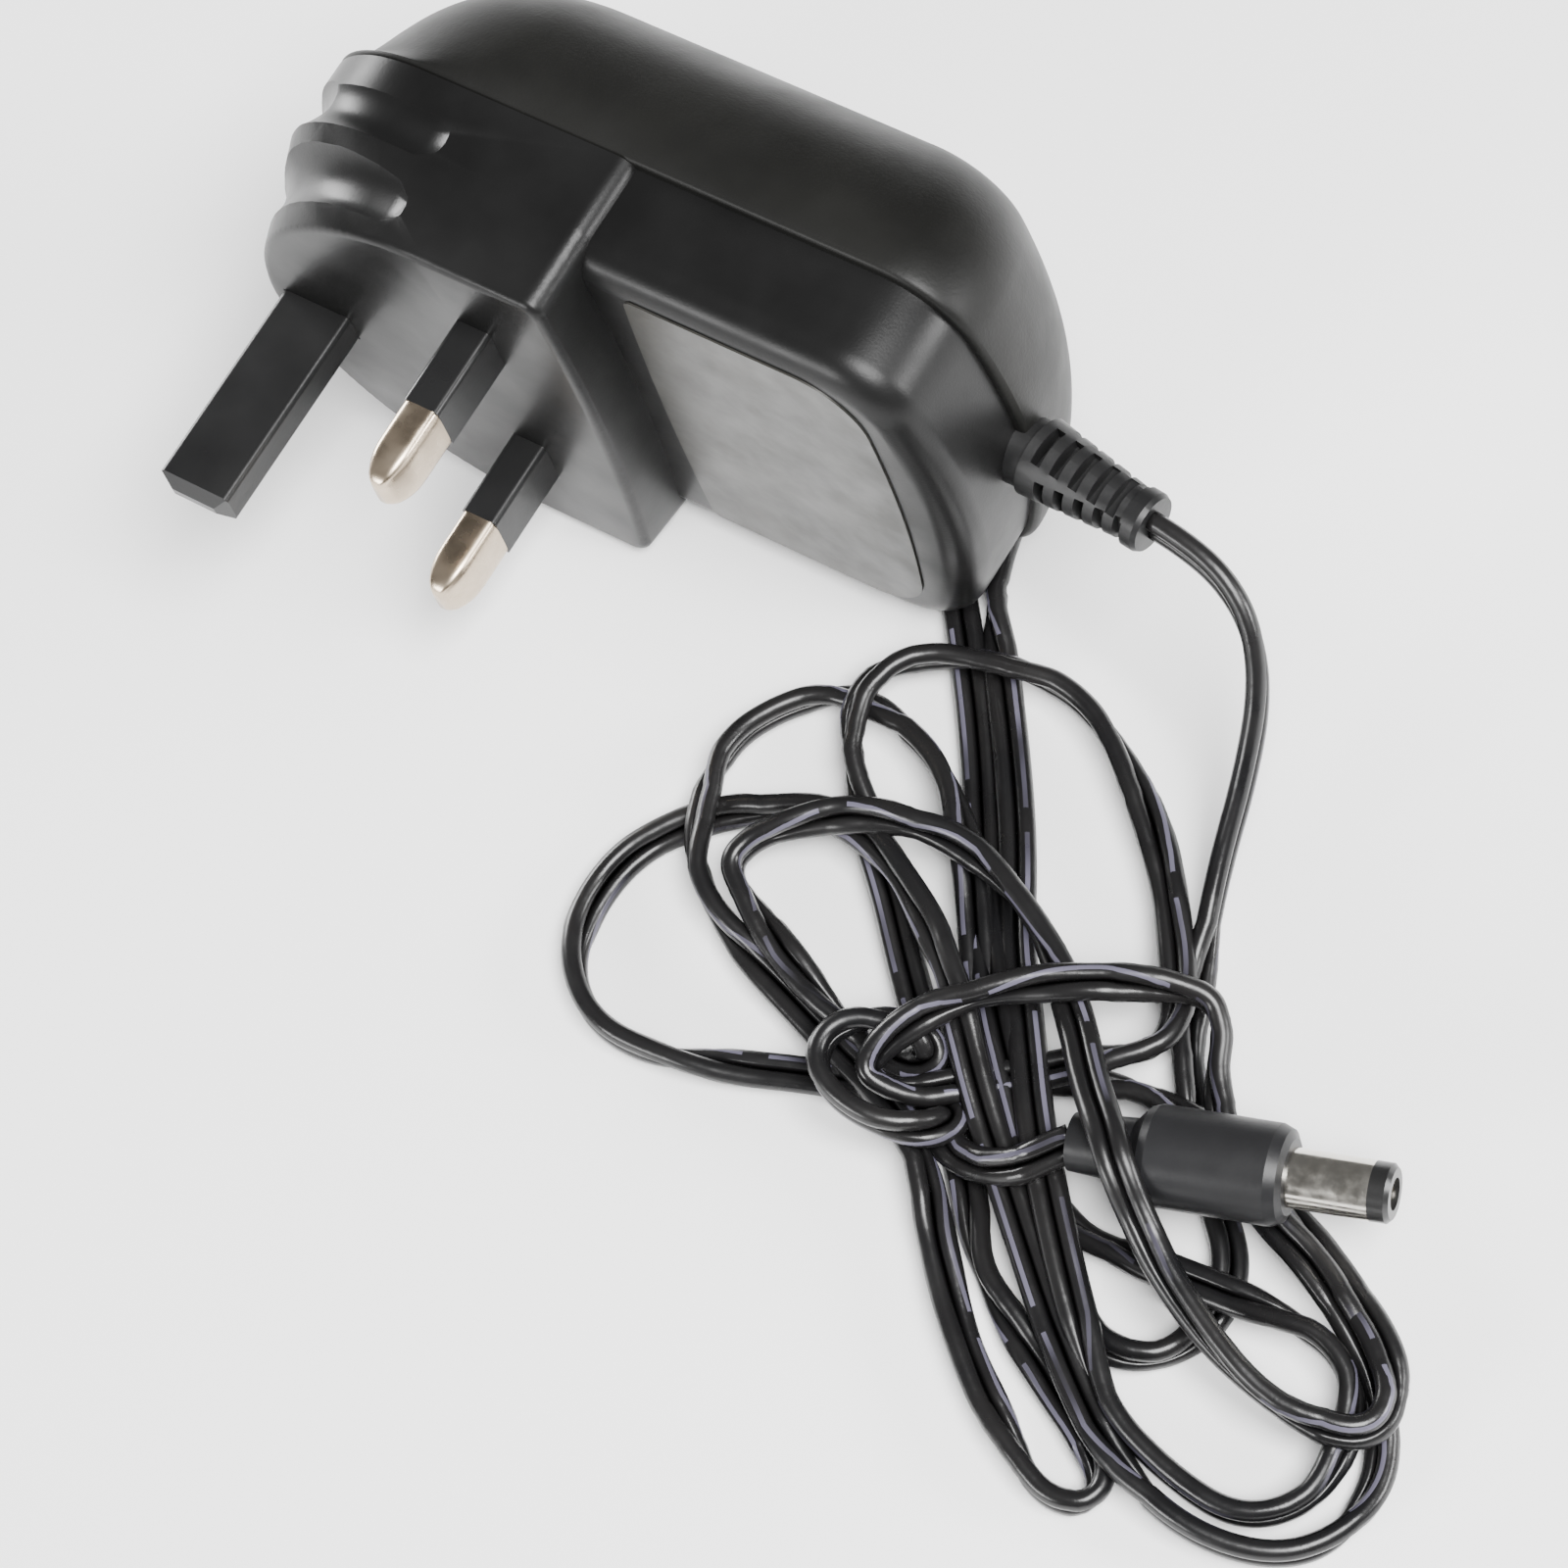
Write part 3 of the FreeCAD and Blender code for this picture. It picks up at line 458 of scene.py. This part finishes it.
def pin_mesh(name, row_up):
    """A power pin: thin shank inside the sleeve, full-size blade, bullet nose."""
    half_x, half_up = PIN_HALF
    thin_x, thin_up = half_x - SHANK_THIN, half_up - SHANK_THIN
    stations = [(SHANK_ROOT, thin_x, thin_up), (SLEEVE_END, thin_x, thin_up), (SLEEVE_END, half_x, half_up),
                (PIN_LONG - PIN_NOSE, half_x, half_up)]
    for step in range(1, NOSE_STEPS + 1):
        share = step / NOSE_STEPS
        narrow = 1.0 - 0.62 * share ** 1.9
        if step > 7:
            narrow *= (0.90, 0.55)[step - 8]
        stations.append((PIN_LONG - PIN_NOSE + PIN_NOSE * share ** 0.8,
                         half_x * narrow, half_up - half_x * (1 - narrow)))
    vertices = []
    faces = []
    for out, wide, tall in stations:
        vertices += [(x + PIN_ROW_X, PIN_FACE_Y - out, up + row_up) for x, up in pin_ring(wide, tall)]
    count = PIN_RING_POINTS
    for row in range(len(stations) - 1):
        for step in range(count):
            low, nextstep = row * count, (step + 1) % count
            faces.append((low + step, low + nextstep, low + count + nextstep, low + count + step))
    faces.append(tuple(reversed(range(count))))
    faces.append(tuple(range((len(stations) - 1) * count, len(stations) * count)))
    mesh = bpy.data.meshes.new(name)
    mesh.from_pydata(vertices, [], faces)
    piece = bpy.data.objects.new(name, mesh)
    bpy.context.scene.collection.objects.link(piece)
    smooth_by_angle(piece, 50.0)
    return piece


plated = Finish("pin_metal", (0.48, 0.39, 0.29), 0.30, 1.0)
plated.roughness(plated.noise(0.0024, 3.0), 0.22, 0.34)
plated.tint(plated.spread(plated.noise(0.002, 4.0), 0.0, 1.0), (0.56, 0.46, 0.35))
plated.bump(plated.noise(0.0008, 2.0), 0.000003)
for pin_name, row_up in PIN_HEIGHTS:
    pin = pin_mesh(pin_name + "_smooth", row_up)
    paint(pin, plated.material)
    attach(pin, "root")
    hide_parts(pin_name)

# %% [markdown]
# ## Strain relief and barrel plug
#
# Both are soft PVC moulded straight on to the lead, with a skin that is a little waxy. The barrel
# is nickel-plated brass, turned, so its finish has fine rings round the axis. Its nose is a black
# insulator that carries the centre contact.

# %% Strain relief and barrel plug
soft = moulded("relief_black", (0.0065, 0.0065, 0.0068), 0.34, 0.48, 0.0005, 0.000014, (0.014, 0.014, 0.014))
soft.dull(0.30)
dress(soft, "strain_relief")

handle = moulded("plug_black", (0.0060, 0.0060, 0.0065), 0.32, 0.46, 0.0005, 0.000012, (0.012, 0.012, 0.013))
handle.dull(0.28)
dress(handle, "plug_handle")

barrel = Finish("barrel_metal", (0.70, 0.67, 0.60), 0.18, 1.0)
barrel.roughness(barrel.noise(0.0012, 3.0), 0.12, 0.26)
barrel.tint(barrel.spread(barrel.noise(0.002, 3.0), 0.0, 1.0), (0.78, 0.75, 0.69))
barrel.bump(barrel.noise(0.0004, 2.0, (3.0, 1.0, 1.0)), 0.000003)
dress(barrel, "plug_barrel")

nose = moulded("insulator_black", (0.0060, 0.0060, 0.0060), 0.20, 0.34, 0.0004, 0.000006,
               (0.012, 0.012, 0.012))
dress(nose, "plug_insulator")

contact = Finish("contact_metal", (0.74, 0.70, 0.60), 0.16, 1.0)
contact.roughness(contact.noise(0.0008, 2.0), 0.10, 0.24)
contact.bump(contact.noise(0.0003, 2.0), 0.000003)
dress(contact, "plug_contact")

# %% [markdown]
# ## The pieces inside
#
# Nobody sees the circuit while the case is shut, but a section view would. Each kind of piece has
# its usual colour: green laminate, dark ferrite under yellow tape, shrink-sleeved capacitors, a
# blue dipped disc, and black moulded semiconductors.

# %% Pieces inside
INSIDE = (
    ("contact_brass", (0.60, 0.43, 0.16), 0.32, 1.0, ("live_contact", "neutral_contact")),
    ("board_green", (0.020, 0.110, 0.035), 0.40, 0.0, ("circuit_board",)),
    ("resistor_coat", (0.260, 0.050, 0.030), 0.45, 0.0, ("fuse_resistor",)),
    ("ferrite", (0.030, 0.030, 0.032), 0.62, 0.0, ("input_choke", "transformer_core")),
    ("chip_black", (0.014, 0.014, 0.015), 0.55, 0.0,
     ("rectifier_diodes", "switching_chip", "opto_coupler", "output_diode")),
    ("can_sleeve", (0.012, 0.022, 0.075), 0.28, 0.0, ("bulk_capacitors", "output_capacitor")),
    ("bobbin_black", (0.016, 0.016, 0.016), 0.45, 0.0, ("transformer_bobbin",)),
    ("winding_tape", (0.620, 0.420, 0.030), 0.30, 0.0, ("transformer_winding",)),
    ("disc_blue", (0.020, 0.085, 0.300), 0.34, 0.0, ("y_capacitor",)),
)

for slot_name, colour, rough, metallic, names in INSIDE:
    inner = Finish(slot_name, colour, rough, metallic)
    inner.roughness(inner.noise(0.003, 3.0), rough - 0.07, rough + 0.07)
    inner.tint(inner.spread(inner.noise(0.005, 3.0), 0.0, 0.6), tuple(1.35 * part for part in colour))
    inner.bump(inner.noise(0.0006, 2.0), 0.000012)
    dress(inner, *names)
print("finished pieces:", len(nodes))

# %% [markdown]
# ## The lead's route
#
# The lead is thin twin flex. It leaves the strain relief, drops to the table, and is wound
# to and fro in long loose loops. Its last turns pass round the waist of the bundle, and the
# barrel plug is tucked in there. A cord like this could be simulated, but a knotty bundle never
# falls twice in the same way, so it is one smooth spline, whose control points go along each
# loop in turn. Heights rise wherever one strand lies on another.
#
# The first ten points repeat the route of the CAD tube. The rest were picked by eye along each
# loop, but they are not a hand-written list: a helper script turned them into metres, pushed
# most crossing strands apart in height, and rounded most of them to half a millimetre. What
# stands below is that list. A better lesson would work out the turns of the hank in a loop.

# %% Route
ROUTE = [
    (0.04565, 0.0084, 0.0252), (0.049565, 0.00792, 0.0252), (0.0543, 0.0067, 0.0239),
    (0.0578, 0.0045, 0.0209), (0.0600, 0.0008, 0.0160), (0.0610, -0.0050, 0.0104),
    (0.0617, -0.0116, 0.0059), (0.0632, -0.0178, 0.0032), (0.0650, -0.0232, 0.0022),
    (0.0667, -0.0283, 0.0022), (0.0715, -0.0345, 0.0015), (0.0765, -0.0400, 0.0015),
    (0.0810, -0.0445, 0.0015), (0.0820, -0.0495, 0.0015), (0.0805, -0.0545, 0.0020),
    (0.0770, -0.0570, 0.0025), (0.0725, -0.0570, 0.0025), (0.0675, -0.0525, 0.0035),
    (0.0615, -0.0460, 0.0040), (0.0555, -0.0400, 0.0045), (0.0495, -0.0335, 0.0050),
    (0.0435, -0.0255, 0.0035), (0.0380, -0.0170, 0.0015), (0.0330, -0.0095, 0.0015),
    (0.0270, -0.0015, 0.0015), (0.0225, 0.0040, 0.0015), (0.0190, 0.0090, 0.0015),
    (0.0185, 0.0140, 0.0015), (0.0210, 0.0160, 0.0020), (0.0245, 0.0140, 0.0020),
    (0.0255, 0.0090, 0.0020), (0.0270, 0.0040, 0.0020), (0.0320, -0.0030, 0.0020),
    (0.0380, -0.0110, 0.0025), (0.0435, -0.0190, 0.0035), (0.0480, -0.0270, 0.0040),
    (0.0540, -0.0350, 0.0050), (0.0595, -0.0425, 0.0060), (0.0660, -0.0500, 0.0060),
    (0.0720, -0.0565, 0.0050), (0.0785, -0.0625, 0.0040), (0.0865, -0.0650, 0.0035),
    (0.0935, -0.0655, 0.0035), (0.0980, -0.0615, 0.0035), (0.0985, -0.0555, 0.0035),
    (0.0970, -0.0505, 0.0035), (0.0930, -0.0475, 0.0040), (0.0870, -0.0475, 0.0040),
    (0.0805, -0.0480, 0.0035), (0.0740, -0.0485, 0.0030), (0.0665, -0.0490, 0.0020),
    (0.0595, -0.0460, 0.0020), (0.0535, -0.0405, 0.0030), (0.0480, -0.0335, 0.0040),
    (0.0430, -0.0260, 0.0045), (0.0395, -0.0210, 0.0055), (0.0325, -0.0145, 0.0045),
    (0.0255, -0.0120, 0.0035), (0.0190, -0.0115, 0.0025), (0.0145, -0.0155, 0.0025),
    (0.0120, -0.0215, 0.0035), (0.0135, -0.0285, 0.0040), (0.0165, -0.0345, 0.0040),
    (0.0220, -0.0380, 0.0035), (0.0290, -0.0405, 0.0030), (0.0365, -0.0430, 0.0025),
    (0.0450, -0.0455, 0.0035), (0.0510, -0.0495, 0.0040), (0.0565, -0.0560, 0.0030),
    (0.0630, -0.0630, 0.0025), (0.0710, -0.0685, 0.0025), (0.0760, -0.0715, 0.0020),
    (0.0800, -0.0710, 0.0020), (0.0810, -0.0680, 0.0020), (0.0775, -0.0650, 0.0020),
    (0.0725, -0.0625, 0.0015), (0.0660, -0.0590, 0.0020), (0.0605, -0.0555, 0.0020),
    (0.0555, -0.0495, 0.0015), (0.0500, -0.0435, 0.0015), (0.0445, -0.0385, 0.0015),
    (0.0390, -0.0330, 0.0020), (0.0340, -0.0275, 0.0025), (0.0285, -0.0225, 0.0030),
    (0.0240, -0.0175, 0.0040), (0.0215, -0.0125, 0.0050), (0.0225, -0.0080, 0.0050),
    (0.0265, -0.0045, 0.0045), (0.0330, -0.0025, 0.0045), (0.0405, -0.0020, 0.0040),
    (0.0485, -0.0065, 0.0040), (0.0565, -0.0135, 0.0040), (0.0620, -0.0210, 0.0040),
    (0.0655, -0.0265, 0.0045), (0.0655, -0.0305, 0.0050), (0.0610, -0.0340, 0.0050),
    (0.0560, -0.0380, 0.0045), (0.0510, -0.0415, 0.0045), (0.0475, -0.0450, 0.0055),
    (0.0440, -0.0460, 0.0070), (0.0430, -0.0445, 0.0080), (0.0445, -0.0410, 0.0095),
    (0.0475, -0.0365, 0.0100), (0.0525, -0.0325, 0.0105), (0.0580, -0.0295, 0.0110),
    (0.0635, -0.0265, 0.0100), (0.0680, -0.0245, 0.0080), (0.0705, -0.0265, 0.0070),
    (0.0720, -0.0310, 0.0060), (0.0755, -0.0355, 0.0055), (0.0810, -0.0395, 0.0050),
    (0.0880, -0.0420, 0.0050), (0.0935, -0.0450, 0.0045), (0.0980, -0.0480, 0.0025),
    (0.1005, -0.0520, 0.0015), (0.1025, -0.0570, 0.0015), (0.1015, -0.0630, 0.0020),
    (0.0975, -0.0670, 0.0025), (0.0905, -0.0685, 0.0030), (0.0830, -0.0670, 0.0035),
    (0.0760, -0.0630, 0.0040), (0.0690, -0.0570, 0.0040), (0.0625, -0.0510, 0.0045),
    (0.0560, -0.0450, 0.0045), (0.0505, -0.0395, 0.0060), (0.0460, -0.0340, 0.0070),
    (0.0395, -0.0290, 0.0060), (0.0330, -0.0250, 0.0055), (0.0260, -0.0235, 0.0045),
    (0.0195, -0.0250, 0.0030), (0.0135, -0.0290, 0.0020), (0.0090, -0.0345, 0.0015),
    (0.0080, -0.0415, 0.0015), (0.0100, -0.0480, 0.0020), (0.0155, -0.0520, 0.0020),
    (0.0225, -0.0520, 0.0020), (0.0300, -0.0495, 0.0020), (0.0365, -0.0470, 0.0020),
    (0.0425, -0.0451, 0.0020), (0.0477, -0.0437, 0.0022), (0.0522, -0.0444, 0.0042),
    (0.0513, -0.0475, 0.0064), (0.0472, -0.0493, 0.0074), (0.0425, -0.0492, 0.0078),
    (0.0387, -0.0473, 0.0080), (0.0380, -0.0437, 0.0080), (0.0408, -0.0406, 0.0078),
    (0.0454, -0.0395, 0.0074), (0.0477, -0.0407, 0.0054), (0.0451, -0.0425, 0.0036),
    (0.0397, -0.0420, 0.0026), (0.0354, -0.0408, 0.0034), (0.0300, -0.0385, 0.0045),
    (0.0235, -0.0355, 0.0045), (0.0195, -0.0330, 0.0050), (0.0205, -0.0295, 0.0055),
    (0.0235, -0.0270, 0.0065), (0.0275, -0.0240, 0.0070), (0.0330, -0.0220, 0.0075),
    (0.0395, -0.0215, 0.0075), (0.0465, -0.0235, 0.0080), (0.0525, -0.0270, 0.0080),
    (0.0585, -0.0325, 0.0090), (0.0636, -0.0381, 0.0115), (0.0676, -0.0417, 0.0136),
    (0.0704, -0.0445, 0.0134), (0.0736, -0.0470, 0.0100), (0.0785, -0.0505, 0.0085),
    (0.0860, -0.0540, 0.0075), (0.0925, -0.0555, 0.0065), (0.0985, -0.0550, 0.0060),
    (0.1010, -0.0525, 0.0055), (0.1000, -0.0485, 0.0050), (0.0965, -0.0450, 0.0050),
    (0.0900, -0.0415, 0.0030), (0.0835, -0.0380, 0.0020), (0.0765, -0.0360, 0.0030),
    (0.0680, -0.0340, 0.0035), (0.0610, -0.0355, 0.0030), (0.0552, -0.0377, 0.0024),
    (0.0507, -0.0398, 0.0024), (0.0489, -0.0432, 0.0026), (0.0511, -0.0469, 0.0032),
    (0.0556, -0.0482, 0.0046), (0.0602, -0.0472, 0.0070), (0.0624, -0.0451, 0.0084),
    (0.0642, -0.0429, 0.0087),
]


def smooth_line(name, points, steps):
    """Points along the smooth spline that has the route as its control points."""
    curve = bpy.data.curves.new(name, "CURVE")
    curve.dimensions = "3D"
    spline = curve.splines.new("NURBS")
    spline.points.add(len(points) - 1)
    for control, place in zip(spline.points, points):
        control.co = (*place, 1.0)
    spline.order_u = 3
    spline.use_endpoint_u = True
    curve.resolution_u = steps
    holder = bpy.data.objects.new(name, curve)
    bpy.context.scene.collection.objects.link(holder)
    bpy.context.view_layer.update()
    mesh = bpy.data.meshes.new_from_object(holder)
    line = np.array([v.co for v in mesh.vertices])
    bpy.data.objects.remove(holder)
    bpy.data.curves.remove(curve)
    bpy.data.meshes.remove(mesh)
    return line


lead_line = smooth_line("lead_route", ROUTE, 12)
lead_steps = np.linalg.norm(np.diff(lead_line, axis=0), axis=1)
lead_along = np.concatenate([[0.0], np.cumsum(lead_steps)])

# %% [markdown]
# ## The lead's twist
#
# Twin flex is a figure of eight in section, 3.7 mm wide and 2 mm thick. It bends easily only
# across its thin side, so on the table it stands on edge round the tight ends of each loop and
# falls flat along the straight runs. A swept curve bevel can't turn like that by itself. The
# section is swept here point by point, with a roll that follows how tightly the line turns on the
# table. It is held flat where another strand lies over or under it.

# %% Twist
CORE_RADIUS = 0.0010
CORE_APART = 0.0017
STRAIGHT_RADIUS = 0.120
TIGHT_RADIUS = 0.030
FIRST_ON_EDGE = 0.110


def moving_mean(values, along, reach):
    """Each value averaged with its neighbours within a reach along the line."""
    result = np.empty_like(values)
    for number, place in enumerate(along):
        near = np.abs(along - place) < reach
        result[number] = values[near].mean(axis=0)
    return result


tangents = np.gradient(lead_line, lead_along, axis=0)
tangents /= np.linalg.norm(tangents, axis=1)[:, None]
heading = np.unwrap(np.arctan2(tangents[:, 1], tangents[:, 0]))
turning = np.abs(moving_mean(np.gradient(heading, lead_along), lead_along, 0.004))
on_edge = np.clip((turning - 1 / STRAIGHT_RADIUS) / (1 / TIGHT_RADIUS - 1 / STRAIGHT_RADIUS), 0, 1)
on_edge[lead_along < FIRST_ON_EDGE] = 1.0


def room_above_and_below(line, along):
    """Half the height that each point has to itself, from the table or the strands it crosses."""
    room = line[:, 2].copy()
    for number, place in enumerate(line):
        beside = np.linalg.norm(line[:, :2] - place[:2], axis=1)
        apart = np.abs(line[:, 2] - place[2])
        other = (beside < 0.0020) & (apart > 0.0012) & (np.abs(along - along[number]) > 0.010)
        if other.any():
            room[number] = min(room[number], 0.62 * apart[other].min())
    return room


def steepest_roll(room):
    """The roll at which the flat section just fits in the room."""
    return np.arcsin(np.clip((room - CORE_RADIUS) / (CORE_APART / 2), 0, 1))


most = steepest_roll(room_above_and_below(lead_line, lead_along))
wanted = on_edge * math.radians(90.0)
above_table = steepest_roll(lead_line[:, 2])
roll = moving_mean(np.minimum(wanted, most), lead_along, 0.004)
roll = np.minimum(roll, above_table)
print("share of the lead on edge: %.2f" % float((roll > math.radians(45)).mean()))

# The stripe's core is underneath on these stretches, in metres along the lead.
TURNED_OVER = ((0.0, 0.135), (0.470, 0.640), (0.820, 0.985))
leaning = np.ones(len(lead_along))
for start, end in TURNED_OVER:
    leaning[(lead_along >= start) & (lead_along < end)] = -1.0
leaning = moving_mean(leaning, lead_along, 0.006)
roll = roll * leaning

# %% [markdown]
# ## The lead's mesh
#
# The figure of eight is drawn as a ring of points: two round cores and the shallow web between
# them. One ring stands at each point of the line, and quads join ring to ring. The UV map keeps
# the distance along the lead and the place round the section, so the finish can print the pale
# broken stripe that marks the positive core.

# %% Lead mesh
def figure_of_eight(count):
    """Points of the section (across, up), from the middle of the first core's outer side."""
    points = []
    lap = math.radians(152.0)
    for side in (1, -1):
        for step in range(count):
            angle = -lap + 2 * lap * step / (count - 1)
            across = side * (CORE_APART / 2 + CORE_RADIUS * math.cos(angle))
            points.append((across, side * CORE_RADIUS * math.sin(angle)))
    return points


def sweep(name, line, line_tangents, rolls, section):
    """A tube of the section along the line, closed at both ends, with UVs in metres and turns."""
    up = np.array([0.0, 0.0, 1.0])
    side = np.cross(up, line_tangents)
    side /= np.linalg.norm(side, axis=1)[:, None]
    over = np.cross(line_tangents, side)
    wide = np.cos(rolls)[:, None] * side + np.sin(rolls)[:, None] * over
    thick = np.cross(line_tangents, wide)
    rings = [line + across * wide + high * thick for across, high in section]
    count = len(section)
    vertices = np.stack(rings, axis=1).reshape(-1, 3)
    faces = []
    for row in range(len(line) - 1):
        for number in range(count):
            following = (number + 1) % count
            low = row * count
            faces.append((low + number, low + following, low + count + following, low + count + number))
    faces.append(tuple(range(count - 1, -1, -1)))
    faces.append(tuple(range((len(line) - 1) * count, len(line) * count)))
    mesh = bpy.data.meshes.new(name)
    mesh.from_pydata(vertices.tolist(), [], faces)
    layer = mesh.uv_layers.new(name="along_and_round")
    lengths = np.concatenate([[0.0], np.cumsum(np.linalg.norm(np.diff(line, axis=0), axis=1))])
    for polygon in mesh.polygons:
        columns = [mesh.loops[k].vertex_index % count for k in polygon.loop_indices]
        wraps = max(columns) - min(columns) > 1 and len(columns) == 4
        for k, column in zip(polygon.loop_indices, columns):
            turn = column + count if wraps and column == 0 else column
            row = mesh.loops[k].vertex_index // count
            layer.data[k].uv = (lengths[row], turn / count)
    mesh.polygons.foreach_set("use_smooth", [True] * len(mesh.polygons))
    mesh.update()
    piece = bpy.data.objects.new(name, mesh)
    bpy.context.scene.collection.objects.link(piece)
    return piece


lead = sweep("lead", lead_line, tangents, roll, figure_of_eight(9))
print("lead mesh:", len(lead.data.vertices), "vertices")

# %% [markdown]
# ## The lead's finish
#
# PVC flex is glossy, with slow ripples from the extruder and from having been folded. A pale
# stripe is printed along one core, in long dashes. The stripe is worked out from the UV map: a
# band round the section, cut into dashes along the length.

# %% Lead finish
STRIPE_MIDDLE = 0.33
STRIPE_HALF = 0.0210
DASH_PITCH = 0.0190
DASH_SHARE = 0.86

flex = Finish("lead_black", (0.0045, 0.0045, 0.0050), 0.30)
flex.roughness(flex.noise(0.006, 3.0), 0.22, 0.36)
flex.tint(flex.spread(flex.noise(0.011, 3.0), 0.0, 1.0), (0.010, 0.0095, 0.0095))
flex.shader.inputs["Specular IOR Level"].default_value = 0.36
flex.bump(flex.noise(0.0035, 2.0), 0.00010)
flex.bump(flex.noise(0.0005, 2.0), 0.000012)
flex_uv = flex.node("ShaderNodeUVMap", uv_map="along_and_round")
flex_axes = flex.node("ShaderNodeSeparateXYZ")
flex.link(flex_uv.outputs["UV"], flex_axes.inputs["Vector"])


def arithmetic(finish, operation, first, second):
    """One Math node. Each input is a socket or a number."""
    node = finish.node("ShaderNodeMath", operation=operation)
    for number, value in enumerate((first, second)):
        if isinstance(value, (int, float)):
            node.inputs[number].default_value = value
        else:
            finish.link(value, node.inputs[number])
    return node.outputs["Value"]


from_middle = arithmetic(flex, "SUBTRACT", flex_axes.outputs["Y"], STRIPE_MIDDLE)
off_stripe = arithmetic(flex, "ABSOLUTE", from_middle, 0.0)
band = arithmetic(flex, "LESS_THAN", off_stripe, STRIPE_HALF)
dash_place = arithmetic(flex, "FRACT", arithmetic(flex, "DIVIDE", flex_axes.outputs["X"], DASH_PITCH), 0.0)
dash = arithmetic(flex, "LESS_THAN", dash_place, DASH_SHARE)
worn = flex.spread(flex.noise(0.020, 2.0), 0.0, 1.0, 0.42, 0.58)
stripe = arithmetic(flex, "MULTIPLY", arithmetic(flex, "MULTIPLY", band, dash), worn)
flex.tint(stripe, (0.085, 0.08, 0.11))
paint(lead, flex.material)

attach(lead, "root")
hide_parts("cord_lead", "cord_hank")
